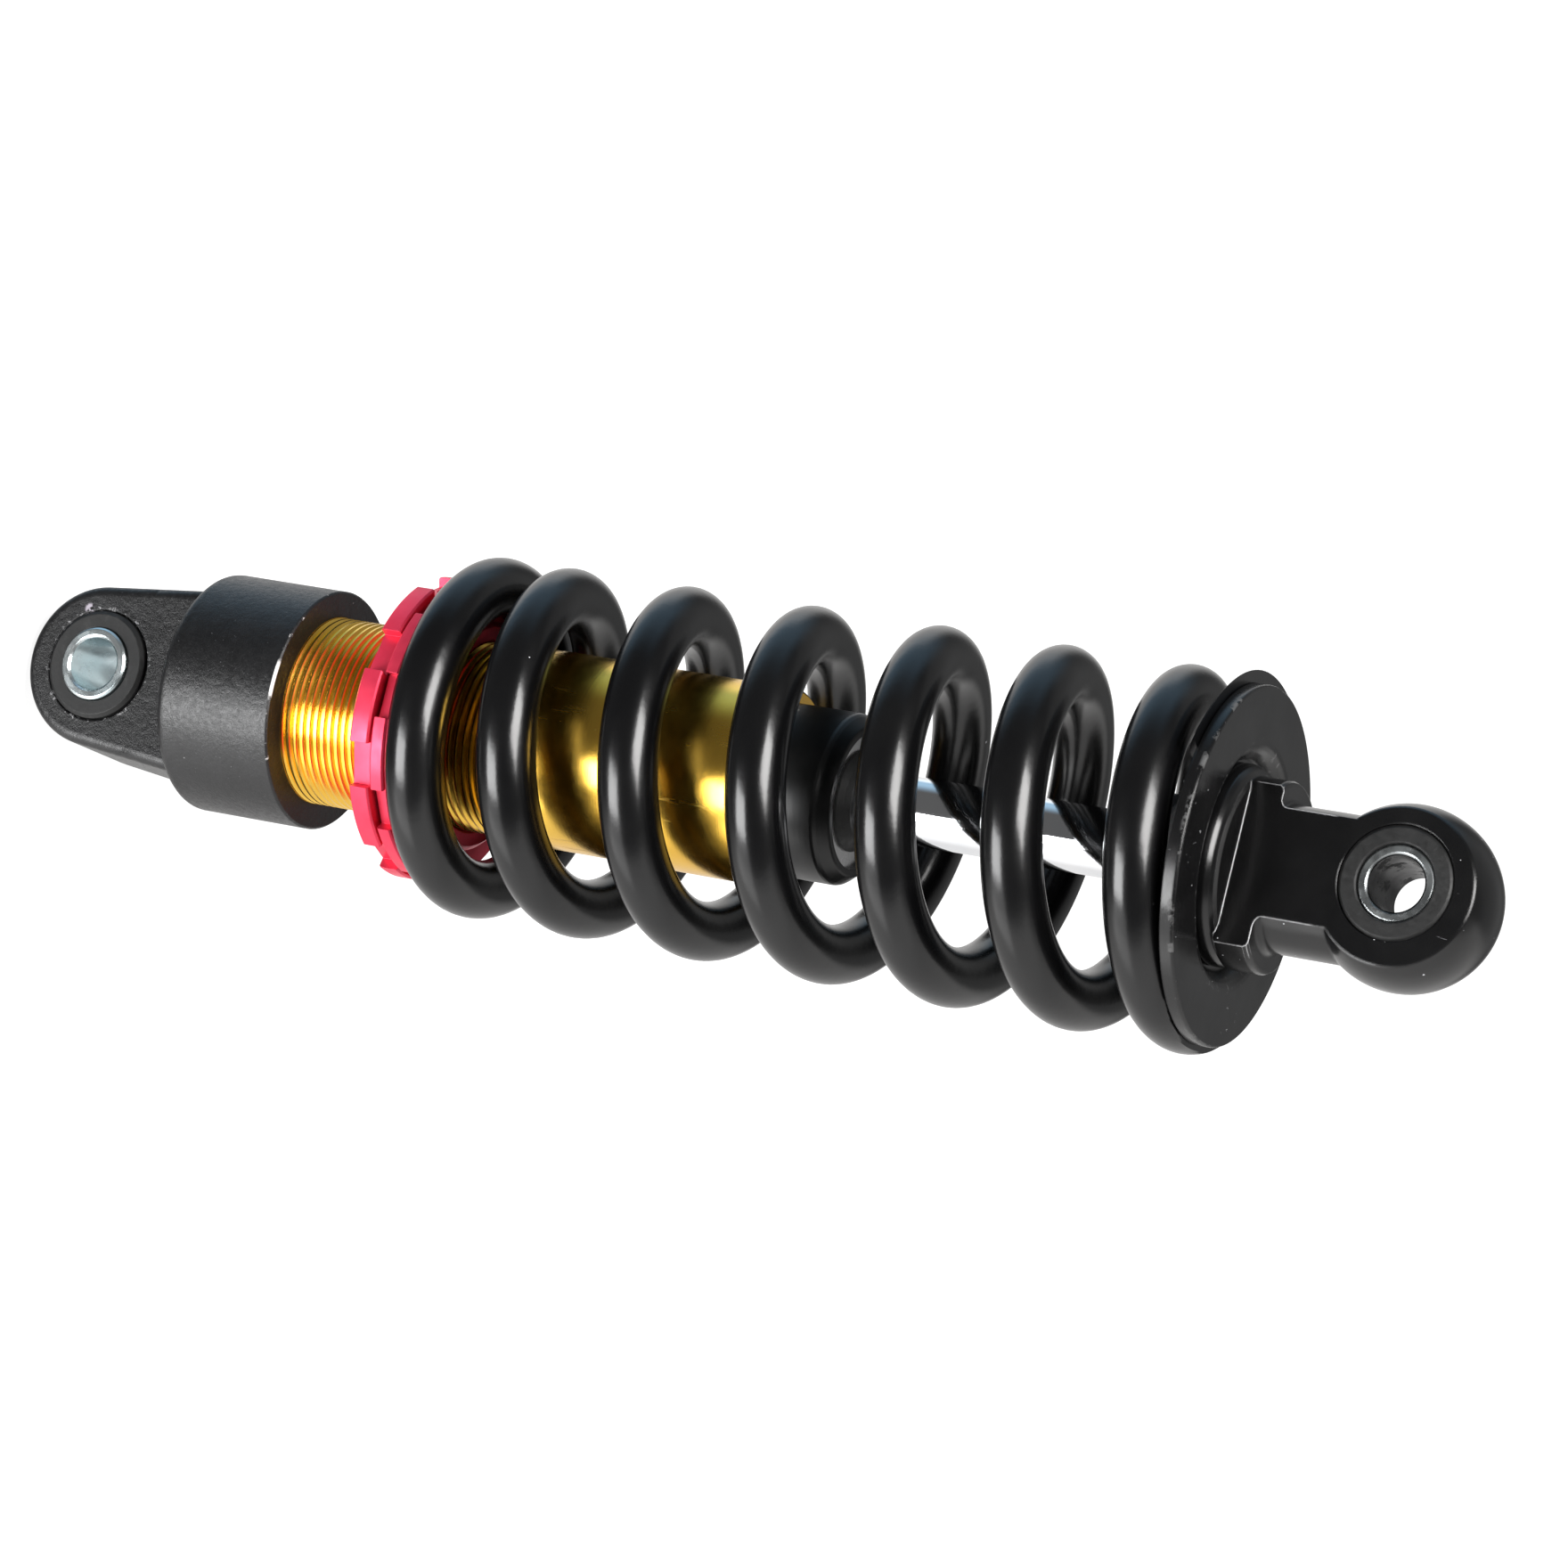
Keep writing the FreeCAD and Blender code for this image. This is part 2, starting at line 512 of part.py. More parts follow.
def make_coil_spring():
    t0, t1 = COIL_Z[0][0], COIL_Z[-1][0]
    per_turn = 24
    n = int(round((t1 - t0) / 2.0 * per_turn))
    pts = [coil_point(t0 + (t1 - t0) * i / n) for i in range(n + 1)]
    curve = Part.BSplineCurve()
    curve.interpolate(pts)
    path = Part.Wire([curve.toShape()])
    p0 = pts[0]
    tan = curve.tangent(curve.FirstParameter)[0]
    circle = Part.Circle(p0, tan, WIRE_R).toShape()
    pipe = Part.BRepOffsetAPI.MakePipeShell(path)
    pipe.setFrenetMode(True)
    pipe.add(Part.Wire([circle]))
    pipe.build()
    pipe.makeSolid()
    wire = pipe.shape()
    if wire.Volume < 0:
        wire.reverse()
    length = curve.length()
    expect = math.pi * WIRE_R ** 2 * length
    print("spring wire length %.1f, volume %.0f, expected %.0f" % (length, wire.Volume, expect))
    big = 60
    ground = wire.common(box(-big, big, -big, big, GROUND_Z0, GROUND_Z1))
    sols = sorted(ground.Solids, key=lambda s: -s.Volume)
    return sols[0]


# ------------------------------------------------------------------- build
save("body_end_cap", make_body_end_cap())
save("body_eye_rubber", make_rubber(BODY_RUBBER_HALF, 0.0))
save("body_eye_sleeve", make_sleeve(BODY_SLEEVE_HALF, 0.0))
save("threaded_sleeve", make_threaded_sleeve())
save("damper_tube", make_damper_tube())
save("damper_tube_base", make_tube_base())
save("seal_head", make_seal_head())
save("seal_head_o_ring", make_seal_head_o_ring())
save("seal_head_stop_ring", make_seal_head_stop_ring())
save("rod_guide_bush", make_rod_guide_bush())
save("rod_oil_seal", make_rod_oil_seal())
save("rod_wiper", make_rod_wiper())
save("lock_ring", castellated(LOCK_Z0, LOCK_Z1, LOCK_SLOT_PHASE))
save("adjuster_ring", castellated(ADJ_Z0, ADJ_Z1, ADJ_SLOT_PHASE))
save("upper_spring_seat", make_upper_spring_seat())
save("coil_spring", make_coil_spring())
save("lower_spring_seat", make_lower_spring_seat())
save("damper_rod", make_damper_rod())
save("piston", make_piston())
save("piston_band", make_piston_band())
save("rebound_shims", stack(PISTON_Z1, 1, [9.6, 8.2, 6.8, 6.0], 0.35))
save("compression_shims", stack(PISTON_Z0, -1, [9.6, 8.2, 6.8, 6.0], 0.3))
save("piston_nut", make_piston_nut())
save("top_out_bumper", make_top_out_bumper())
save("bump_stop", make_bump_stop())
for name, shape in (("rod_end_eye", make_rod_end_eye()),
                    ("rod_eye_rubber", make_rubber(ROD_RUBBER_HALF, EYE_TO_EYE)),
                    ("rod_eye_sleeve", make_sleeve(ROD_SLEEVE_HALF, EYE_TO_EYE))):
    shape.rotate(V(0, 0, 0), V(0, 0, 1), -ROD_EYE_TURN)
    save(name, shape)
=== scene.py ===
import bpy
import math
import numpy as np
from mathutils import Matrix, Vector


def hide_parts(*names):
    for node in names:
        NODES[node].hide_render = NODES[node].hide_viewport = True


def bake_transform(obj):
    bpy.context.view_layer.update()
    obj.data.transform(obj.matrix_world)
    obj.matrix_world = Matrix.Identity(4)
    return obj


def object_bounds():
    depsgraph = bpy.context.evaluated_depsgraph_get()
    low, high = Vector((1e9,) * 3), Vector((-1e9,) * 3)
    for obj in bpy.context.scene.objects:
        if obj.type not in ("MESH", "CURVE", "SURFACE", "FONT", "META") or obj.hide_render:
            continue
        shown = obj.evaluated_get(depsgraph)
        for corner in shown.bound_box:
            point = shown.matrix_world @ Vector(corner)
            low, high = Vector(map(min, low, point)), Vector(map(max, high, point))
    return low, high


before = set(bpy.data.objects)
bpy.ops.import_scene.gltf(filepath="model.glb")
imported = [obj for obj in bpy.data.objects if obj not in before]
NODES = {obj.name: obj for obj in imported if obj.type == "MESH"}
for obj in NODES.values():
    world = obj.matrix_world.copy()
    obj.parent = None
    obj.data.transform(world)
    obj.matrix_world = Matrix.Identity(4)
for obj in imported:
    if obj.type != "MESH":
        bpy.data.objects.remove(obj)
LO0, HI0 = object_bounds()
MM = 0.001


# ---------------------------------------------------------------- node helper
class Mat:
    """A principled material with short calls for its procedural nodes."""

    def __init__(self, name):
        self.m = bpy.data.materials.new(name)
        self.m.use_nodes = True
        self.t = self.m.node_tree
        self.t.nodes.clear()
        self.out = self.n("ShaderNodeOutputMaterial")
        self.p = self.n("ShaderNodeBsdfPrincipled")
        self.t.links.new(self.p.outputs[0], self.out.inputs[0])
        self.co = self.n("ShaderNodeTexCoord").outputs["Object"]

    def n(self, kind, **props):
        node = self.t.nodes.new(kind)
        for k, v in props.items():
            setattr(node, k, v)
        return node

    def put(self, sock, v):
        if isinstance(v, bpy.types.NodeSocket):
            self.t.links.new(v, sock)
        elif v is not None:
            sock.default_value = v

    def set(self, **kw):
        for k, v in kw.items():
            name = {"color": "Base Color", "rough": "Roughness", "metal": "Metallic", "normal": "Normal",
                    "coat": "Coat Weight", "coat_rough": "Coat Roughness", "ior": "IOR",
                    "aniso": "Anisotropic", "spec": "Specular IOR Level", "sheen": "Sheen Weight",
                    "emit": "Emission Color", "emit_s": "Emission Strength"}[k]
            if name == "Base Color" and isinstance(v, tuple) and len(v) == 3:
                v = (*v, 1.0)
            self.put(self.p.inputs[name], v)
        return self

    def stretch(self, scale, vec=None, rot=None):
        node = self.n("ShaderNodeMapping")
        node.inputs["Scale"].default_value = scale
        if rot:
            node.inputs["Rotation"].default_value = rot
        self.t.links.new(vec or self.co, node.inputs["Vector"])
        return node.outputs[0]

    def noise(self, scale, detail=3.0, rough=0.55, vec=None):
        node = self.n("ShaderNodeTexNoise")
        node.inputs["Scale"].default_value = scale
        node.inputs["Detail"].default_value = detail
        node.inputs["Roughness"].default_value = rough
        self.t.links.new(vec or self.co, node.inputs["Vector"])
        return node.outputs["Fac"]

    def cells(self, scale, vec=None):
        node = self.n("ShaderNodeTexVoronoi")
        node.inputs["Scale"].default_value = scale
        self.t.links.new(vec or self.co, node.inputs["Vector"])
        return node.outputs["Distance"], node.outputs["Color"]

    def math(self, op, a, b=None, c=None, clamp=False):
        node = self.n("ShaderNodeMath", operation=op, use_clamp=clamp)
        for s, v in zip(node.inputs, (a, b, c)):
            self.put(s, v)
        return node.outputs[0]

    def span(self, v, a, b, c=0.0, d=1.0, smooth=True):
        node = self.n("ShaderNodeMapRange", interpolation_type="SMOOTHSTEP" if smooth else "LINEAR")
        self.put(node.inputs["Value"], v)
        for k, x in zip(("From Min", "From Max", "To Min", "To Max"), (a, b, c, d)):
            self.put(node.inputs[k], x)
        return node.outputs["Result"]

    def mix(self, fac, a, b):
        node = self.n("ShaderNodeMix", data_type="RGBA")
        self.put(node.inputs[0], fac)
        self.put(node.inputs[6], (*a, 1.0) if isinstance(a, tuple) else a)
        self.put(node.inputs[7], (*b, 1.0) if isinstance(b, tuple) else b)
        return node.outputs[2]

    def bump(self, height, dist, strength=1.0, normal=None):
        node = self.n("ShaderNodeBump")
        node.inputs["Strength"].default_value = strength
        node.inputs["Distance"].default_value = dist
        self.t.links.new(height, node.inputs["Height"])
        if normal is not None:
            self.t.links.new(normal, node.inputs["Normal"])
        return node.outputs[0]

    def bevel(self, radius):
        node = self.n("ShaderNodeBevel", samples=4)
        node.inputs["Radius"].default_value = radius
        return node.outputs[0]

    def edge(self, radius, a=0.03, b=0.12):
        """1 along sharp outer edges, from how far the bevelled normal leans."""
        node = self.n("ShaderNodeVectorMath", operation="DOT_PRODUCT")
        self.t.links.new(self.bevel(radius), node.inputs[0])
        self.t.links.new(self.n("ShaderNodeNewGeometry").outputs["True Normal"], node.inputs[1])
        return self.span(self.math("SUBTRACT", 1.0, node.outputs["Value"]), a, b)

    def xyz(self):
        node = self.n("ShaderNodeSeparateXYZ")
        self.t.links.new(self.co, node.inputs[0])
        return node.outputs

    def near(self, centre, radius, soft=0.5):
        """1 at a point of the object, falling to 0 at the radius."""
        node = self.n("ShaderNodeVectorMath", operation="DISTANCE")
        self.t.links.new(self.co, node.inputs[0])
        node.inputs[1].default_value = centre
        return self.span(node.outputs["Value"], radius * soft, radius, 1.0, 0.0)

    def specks(self, scale, size, share):
        """Small round specks in a share of the cells."""
        d, c = self.cells(scale)
        sep = self.n("ShaderNodeSeparateColor")
        self.t.links.new(c, sep.inputs[0])
        grow = self.span(sep.outputs[1], 0.0, 1.0, size * 0.45, size, smooth=False)
        dot = self.math("LESS_THAN", d, grow)
        some = self.math("LESS_THAN", sep.outputs[0], share)
        return self.math("MULTIPLY", dot, some)

    def most(self, *v):
        r = v[0]
        for x in v[1:]:
            r = self.math("MAXIMUM", r, x)
        return r

    def times(self, *v):
        r = v[0]
        for x in v[1:]:
            r = self.math("MULTIPLY", r, x)
        return r


# ---------------------------------------------------------------- materials
def spring_paint():
    m = Mat("gloss_black_powder_coat")
    dust = m.most(m.specks(230, 0.055, 0.10), m.specks(95, 0.035, 0.16))
    haze = m.noise(38, 3)
    col = m.mix(m.span(haze, 0.35, 0.7), (0.0016, 0.0016, 0.0019), (0.0030, 0.0030, 0.0032))
    col = m.mix(dust, col, (0.62, 0.63, 0.66))
    rough = m.span(m.noise(70, 4), 0.3, 0.7, 0.19, 0.25)
    rough = m.math("ADD", rough, m.math("MULTIPLY", dust, 0.4))
    peel = m.math("ADD", m.noise(420, 2), m.math("MULTIPLY", m.noise(1500, 2), 0.25))
    m.set(color=col, rough=rough, normal=m.bump(peel, 0.00005, 0.45), ior=1.5)
    return m.m


# point on the cup's rim where the painted rim highlight is strongest
RIM_HIGHLIGHT_AT = (-0.00190, -0.02287, 0.04530)
CHIP_AT = (-0.01054, -0.01180, -0.00458)


def cast_paint():
    m = Mat("satin_black_cast")
    x, y, z = m.xyz()
    grain = m.noise(1150, 5, 0.65)
    lumps = m.noise(210, 3)
    pits = m.cells(620)[0]
    fine = m.noise(3600, 2)
    height = m.math("ADD", m.math("MULTIPLY", grain, 0.75), m.math("MULTIPLY", lumps, 0.9))
    height = m.math("ADD", height, m.math("MULTIPLY", pits, 0.22))
    height = m.math("ADD", height, m.math("MULTIPLY", fine, 0.30))
    # painted highlight: a broken white line along the cup's rim, strongest at one point on its -Y side; grey scuffs
    # ring the bush
    rho = m.math("SQRT", m.math("ADD", m.math("MULTIPLY", x, x), m.math("MULTIPLY", y, y)))
    rim = m.times(m.span(z, 0.04492, 0.04512), m.span(rho, 0.0223, 0.0226), m.span(m.noise(420, 4, 0.7), 0.42, 0.50), m.near(RIM_HIGHLIGHT_AT, 0.0046, 0.5))
    rim_highlight2 = m.times(m.span(z, 0.0450, 0.0452), m.span(rho, 0.0223, 0.0226), m.span(m.noise(260, 5, 0.7), 0.60, 0.64))
    chip = m.times(m.near(CHIP_AT, 0.0013, 0.5), m.span(m.noise(900, 3), 0.40, 0.48))
    r = m.math("SQRT", m.math("ADD", m.math("MULTIPLY", x, x), m.math("MULTIPLY", z, z)))
    ring = m.times(m.span(r, 0.0104, 0.0106), m.span(r, 0.0113, 0.0117, 1.0, 0.0), m.span(m.noise(900, 5, 0.75), 0.56, 0.62),
                   m.span(y, -0.0116, -0.0113, 1.0, 0.0))
    streak = m.noise(1.0, 4, 0.6, m.stretch((260, 900, 2600), rot=(0.0, 0.5, 0.0)))
    scratch = m.times(m.span(streak, 0.70, 0.73), m.span(m.noise(60, 2), 0.58, 0.66))
    worn = m.most(m.times(ring, 0.6), m.times(scratch, 0.2), m.times(m.specks(330, 0.07, 0.05), 0.5))
    col = m.mix(m.span(lumps, 0.3, 0.7), (0.0042, 0.0042, 0.0046), (0.0066, 0.0066, 0.0072))
    glint = m.specks(1500, 0.20, 0.10)
    col = m.mix(m.times(glint, 0.16), col, (0.30, 0.31, 0.33))
    col = m.mix(worn, col, (0.36, 0.36, 0.37))
    # painted highlight along the cup's rim
    col = m.mix(m.most(rim, m.times(rim_highlight2, 0.6)), col, (0.78, 0.77, 0.76))
    col = m.mix(m.times(chip, 0.7), col, (0.42, 0.38, 0.44))
    rough = m.span(grain, 0.3, 0.7, 0.30, 0.44)
    m.set(color=col, rough=rough, normal=m.bump(height, 0.00014, 0.85, m.bevel(0.0004)), ior=1.5)
    return m.m


def forged_paint():
    m = Mat("gloss_black_forging")
    lumps = m.noise(75, 3)
    peel = m.noise(520, 3)
    dust = m.most(m.specks(430, 0.08, 0.18), m.specks(160, 0.045, 0.20))
    streak = m.noise(1.0, 4, 0.6, m.stretch((900, 500, 160), rot=(0.6, 0.2, 0.0)))
    scratch = m.times(m.span(streak, 0.67, 0.70), m.span(m.noise(45, 2), 0.55, 0.64))
    # the seat's rim is scuffed through to a lighter edge
    x, y, z = m.xyz()
    r = m.math("SQRT", m.math("ADD", m.math("MULTIPLY", x, x), m.math("MULTIPLY", y, y)))
    rim = m.times(m.span(r, 0.0318, 0.0322), m.span(m.noise(230, 5, 0.7), 0.52, 0.62), m.span(z, 0.2318, 0.2326))
    fret = m.times(m.span(r, 0.0195, 0.0200), m.span(r, 0.0222, 0.0232, 1.0, 0.0), m.span(m.noise(700, 4), 0.60, 0.66), 0.5)
    col = m.mix(m.span(lumps, 0.3, 0.7), (0.0020, 0.0020, 0.0022), (0.0036, 0.0036, 0.0038))
    col = m.mix(m.most(m.times(dust, 0.8), m.times(scratch, 0.30)), col, (0.55, 0.56, 0.58))
    col = m.mix(m.most(m.times(rim, 0.16), m.times(fret, 0.2)), col, (0.42, 0.42, 0.42))
    # painted highlight: white lines along the eye's sharp machined edges on the -Y side
    edge_highlight = m.times(m.edge(0.00035), m.span(y, -0.0070, -0.0085), m.span(z, 0.2335, 0.2340), m.span(z, 0.2515, 0.2500),
                   m.span(m.noise(160, 3), 0.34, 0.44))
    # mix in the painted edge highlight
    col = m.mix(m.times(edge_highlight, 0.9), col, (0.80, 0.80, 0.82))
    rough = m.span(m.noise(120, 4), 0.3, 0.7, 0.17, 0.26)
    rough = m.math("ADD", rough, m.math("MULTIPLY", m.most(dust, rim), 0.3))
    height = m.math("ADD", m.math("MULTIPLY", lumps, 1.6), m.math("MULTIPLY", peel, 0.28))
    m.set(color=col, rough=rough, normal=m.bump(height, 0.00010, 0.5, m.bevel(0.00055)), ior=1.5)
    return m.m


def gold():
    m = Mat("gold_anodised")
    x, y, z = m.xyz()
    turn = m.noise(1.0, 2, 0.5, m.stretch((6, 6, 2600)))
    blotch = m.noise(60, 4)
    rub = m.noise(1.0, 5, 0.65, m.stretch((420, 420, 60), rot=(0.3, 0.0, 0.4)))
    rubbed = m.times(m.span(rub, 0.60, 0.70), m.span(z, 0.0915, 0.0935))
    dark = m.specks(160, 0.05, 0.18)
    col = m.mix(m.span(blotch, 0.3, 0.7), (0.90, 0.53, 0.075), (0.98, 0.62, 0.10))
    col = m.mix(m.times(rubbed, 0.25), col, (0.72, 0.50, 0.16))
    col = m.mix(m.times(dark, 0.8), col, (0.16, 0.07, 0.01))
    groove = m.times(m.span(m.math("FRACT", m.math("DIVIDE", m.math("SUBTRACT", z, 0.0455), 0.0015)), 0.0, 0.28, 1.0, 0.0),
                     m.span(z, 0.0912, 0.0916, 1.0, 0.0))
    col = m.mix(m.times(groove, 0.25), col, (0.50, 0.26, 0.03))
    rough = m.math("ADD", m.span(m.noise(150, 4), 0.3, 0.7, 0.19, 0.27), m.math("MULTIPLY", rubbed, 0.12))
    m.set(color=col, metal=1.0, rough=rough, normal=m.bump(turn, 0.000012, 0.6))
    return m.m


def red():
    m = Mat("red_anodised")
    mill = m.noise(1.0, 3, 0.6, m.stretch((500, 500, 1800)))
    blotch = m.noise(90, 4)
    dust = m.specks(260, 0.05, 0.2)
    col = m.mix(m.span(blotch, 0.3, 0.7), (0.66, 0.028, 0.072), (0.80, 0.046, 0.10))
    col = m.mix(m.times(dust, 0.5), col, (0.9, 0.5, 0.55))
    rough = m.span(m.noise(240, 4), 0.3, 0.7, 0.33, 0.46)
    m.set(color=col, metal=0.55, rough=rough, normal=m.bump(mill, 0.00002, 0.6, m.bevel(0.0002)), ior=1.5)
    return m.m


def tube_paint():
    m = Mat("satin_black_tube")
    turn = m.noise(1.0, 2, 0.5, m.stretch((40, 40, 1800)))
    wear = m.noise(60, 4)
    dust = m.specks(210, 0.05, 0.12)
    col = m.mix(m.span(wear, 0.35, 0.7), (0.0026, 0.0026, 0.0028), (0.0040, 0.0040, 0.0042))
    col = m.mix(m.times(dust, 0.6), col, (0.5, 0.5, 0.5))
    rough = m.span(wear, 0.3, 0.7, 0.30, 0.42)
    m.set(color=col, rough=rough, normal=m.bump(turn, 0.00002, 0.5, m.bevel(0.0003)), ior=1.45)
    return m.m


def chrome():
    m = Mat("hard_chrome")
    line = m.noise(1.0, 3, 0.6, m.stretch((30, 30, 2400)))
    film = m.noise(90, 3)
    rough = m.math("ADD", m.span(film, 0.3, 0.7, 0.035, 0.07), m.span(line, 0.55, 0.75, 0.0, 0.04))
    col = m.mix(m.span(film, 0.3, 0.7), (0.80, 0.82, 0.85), (0.88, 0.885, 0.90))
    m.set(color=col, metal=1.0, rough=rough, normal=m.bump(line, 0.000004, 0.5))
    return m.m


def zinc(name, pale, tint, grime, lo, hi, shaded_bore=None):
    m = Mat(name)
    spangle = m.noise(260, 3, 0.5)
    lathe = m.noise(1.0, 3, 0.6, m.stretch((60, 1700, 60)))
    col = m.mix(m.span(m.noise(70, 3), 0.35, 0.7), pale, tint)
    stain = m.times(m.span(m.noise(240, 5, 0.7), 0.54, 0.62), grime)
    col = m.mix(stain, col, (0.05, 0.05, 0.05))
    if shaded_bore:
        # painted shade: the inside of the bore is coloured near black, as a hole in shade looks; only the lip stays
        # bright
        x, y, z = m.xyz()
        turn, height = shaded_bore
        u = m.math("SUBTRACT", m.math("MULTIPLY", x, math.cos(turn)), m.math("MULTIPLY", y, math.sin(turn)))
        v = m.math("SUBTRACT", z, height)
        r = m.math("SQRT", m.math("ADD", m.math("MULTIPLY", u, u), m.math("MULTIPLY", v, v)))
        col = m.mix(m.span(r, 0.00545, 0.00515), col, (0.012, 0.012, 0.013))
    rough = m.math("ADD", m.span(spangle, 0.3, 0.7, lo, hi), m.math("MULTIPLY", stain, 0.3))
    m.set(color=col, metal=1.0, rough=rough, normal=m.bump(m.math("ADD", lathe, m.math("MULTIPLY", spangle, 0.4)), 0.00001, 0.5, m.bevel(0.0003)))
    return m.m


def rubber(name, tone=0.006, worn=0.3):
    m = Mat(name)
    grain = m.noise(900, 4, 0.6)
    soft = m.noise(130, 3)
    bloom = m.times(m.span(m.noise(240, 5, 0.7), 0.55, 0.68), worn)
    col = m.mix(m.span(soft, 0.3, 0.7), (tone * 0.8,) * 3, (tone * 1.3,) * 3)
    col = m.mix(bloom, col, (0.05, 0.05, 0.05))
    m.set(color=col, rough=m.span(grain, 0.3, 0.7, 0.46, 0.62), normal=m.bump(grain, 0.00005, 0.6, m.bevel(0.0003)), ior=1.5)
    return m.m


def foam():
    m = Mat("bump_foam")
    d, c = m.cells(1300)
    soft = m.noise(160, 3)
    col = m.mix(m.span(soft, 0.3, 0.7), (0.020, 0.020, 0.021), (0.035, 0.034, 0.033))
    m.set(color=col, rough=m.span(soft, 0.3, 0.7, 0.62, 0.78), normal=m.bump(d, 0.00008, 0.6))
    return m.m


def turned(name, a, b, lo=0.22, hi=0.36):
    m = Mat(name)
    line = m.noise(1.0, 3, 0.6, m.stretch((60, 60, 1900)))
    film = m.noise(110, 3)
    m.set(color=m.mix(m.span(film, 0.3, 0.7), a, b), metal=1.0, rough=m.span(film, 0.3, 0.7, lo, hi),
          normal=m.bump(line, 0.00001, 0.6))
    return m.m


def ptfe():
    m = Mat("bronze_filled_band")
    fill = m.noise(1400, 3)
    m.set(color=m.mix(m.span(fill, 0.4, 0.6), (0.20, 0.13, 0.06), (0.34, 0.24, 0.12)), metal=0.2,
          rough=m.span(fill, 0.3, 0.7, 0.40, 0.55), normal=m.bump(fill, 0.00002, 0.5))
    return m.m


SPRING = spring_paint()
CAST = cast_paint()
FORGED = forged_paint()
GOLD = gold()
RED = red()
TUBE = tube_paint()
CHROME = chrome()
ZINC = zinc("bright_zinc", (0.80, 0.86, 0.87), (0.70, 0.82, 0.85), 0.06, 0.20, 0.28)
# grimy zinc that also carries painted shade inside the rod eye's bore
ZINC_GRIMY_SHADED_BORE = zinc("grimy_zinc_shaded_bore", (0.40, 0.42, 0.43), (0.52, 0.55, 0.55), 0.85, 0.22, 0.36, (math.radians(5.2), 0.264))
RUBBER = rubber("bush_rubber", 0.0055, 0.25)
SEAL = rubber("seal_rubber", 0.005, 0.1)
FOAM = foam()
ALU = turned("turned_aluminium", (0.70, 0.70, 0.71), (0.80, 0.80, 0.80))
SHIM = turned("shim_steel", (0.42, 0.43, 0.46), (0.52, 0.53, 0.56), 0.14, 0.24)
PTFE = ptfe()
LOOK = {
    "body_end_cap": CAST, "rod_end_eye": FORGED, "lower_spring_seat": FORGED, "coil_spring": SPRING,
    "threaded_sleeve": GOLD, "lock_ring": RED, "adjuster_ring": RED, "upper_spring_seat": RED,
    "damper_tube": TUBE, "damper_tube_base": TUBE, "damper_rod": CHROME,
    "body_eye_sleeve": ZINC, "rod_eye_sleeve": ZINC_GRIMY_SHADED_BORE, "body_eye_rubber": RUBBER, "rod_eye_rubber": RUBBER,
    "rod_oil_seal": SEAL, "rod_wiper": SEAL, "seal_head_o_ring": SEAL, "top_out_bumper": FOAM, "bump_stop": FOAM,
    "seal_head": ALU, "piston": ALU, "seal_head_stop_ring": SHIM, "rebound_shims": SHIM, "compression_shims": SHIM,
    "piston_nut": ZINC, "piston_band": PTFE, "rod_guide_bush": PTFE,
}
for name, obj in NODES.items():
    if not obj.material_slots:
        obj.data.materials.append(LOOK[name])
    for s in obj.material_slots:
        s.material = LOOK[name]

# ---------------------------------------------------------------- coil spring
WIRE_R = 5.5
COIL_R = 28.5
GROUND_Z0, GROUND_Z1 = 75.32, 230.28
COIL_Z = [(-0.55, 75.9), (0.0, 78.6), (1.0, 82.5), (2.0, 92.8), (3.0, 105.0), (4.0, 117.5), (5.0, 130.2),
          (6.0, 143.1), (7.0, 156.0), (8.0, 168.9), (9.0, 181.2), (10.0, 193.4), (11.0, 205.7), (12.0, 217.9),
          (13.0, 227.2), (14.0, 233.7), (14.33, 234.2)]
_T = [t for t, z in COIL_Z]
_Z = [z for t, z in COIL_Z]
_H = [b - a for a, b in zip(_T, _T[1:])]
_D = [(b - a) / h for a, b, h in zip(_Z, _Z[1:], _H)]
_M = [_D[0]]
for i in range(1, len(_D)):
    w1, w2 = 2 * _H[i] + _H[i - 1], _H[i] + 2 * _H[i - 1]
    _M.append((w1 + w2) / (w1 / _D[i - 1] + w2 / _D[i]))
_M.append(_D[-1])


def coil_z(t):
    i = max(0, min(len(_H) - 1, sum(1 for x in _T[1:-1] if t >= x)))
    h = _H[i]
    s = (t - _T[i]) / h
    return ((1 + 2 * s) * (1 - s) ** 2 * _Z[i] + s * (1 - s) ** 2 * h * _M[i]
            + s * s * (3 - 2 * s) * _Z[i + 1] + s * s * (s - 1) * h * _M[i + 1])


def coil_r(t):
    s = max(0.0, min(1.0, (t - 12.6) / 1.4))
    return COIL_R + 2.0 * s * s * (3 - 2 * s)


def coil_point(t):
    a = math.pi * t
    r = coil_r(t)
    return np.array([-r * math.cos(a), -r * math.sin(a), coil_z(t)])


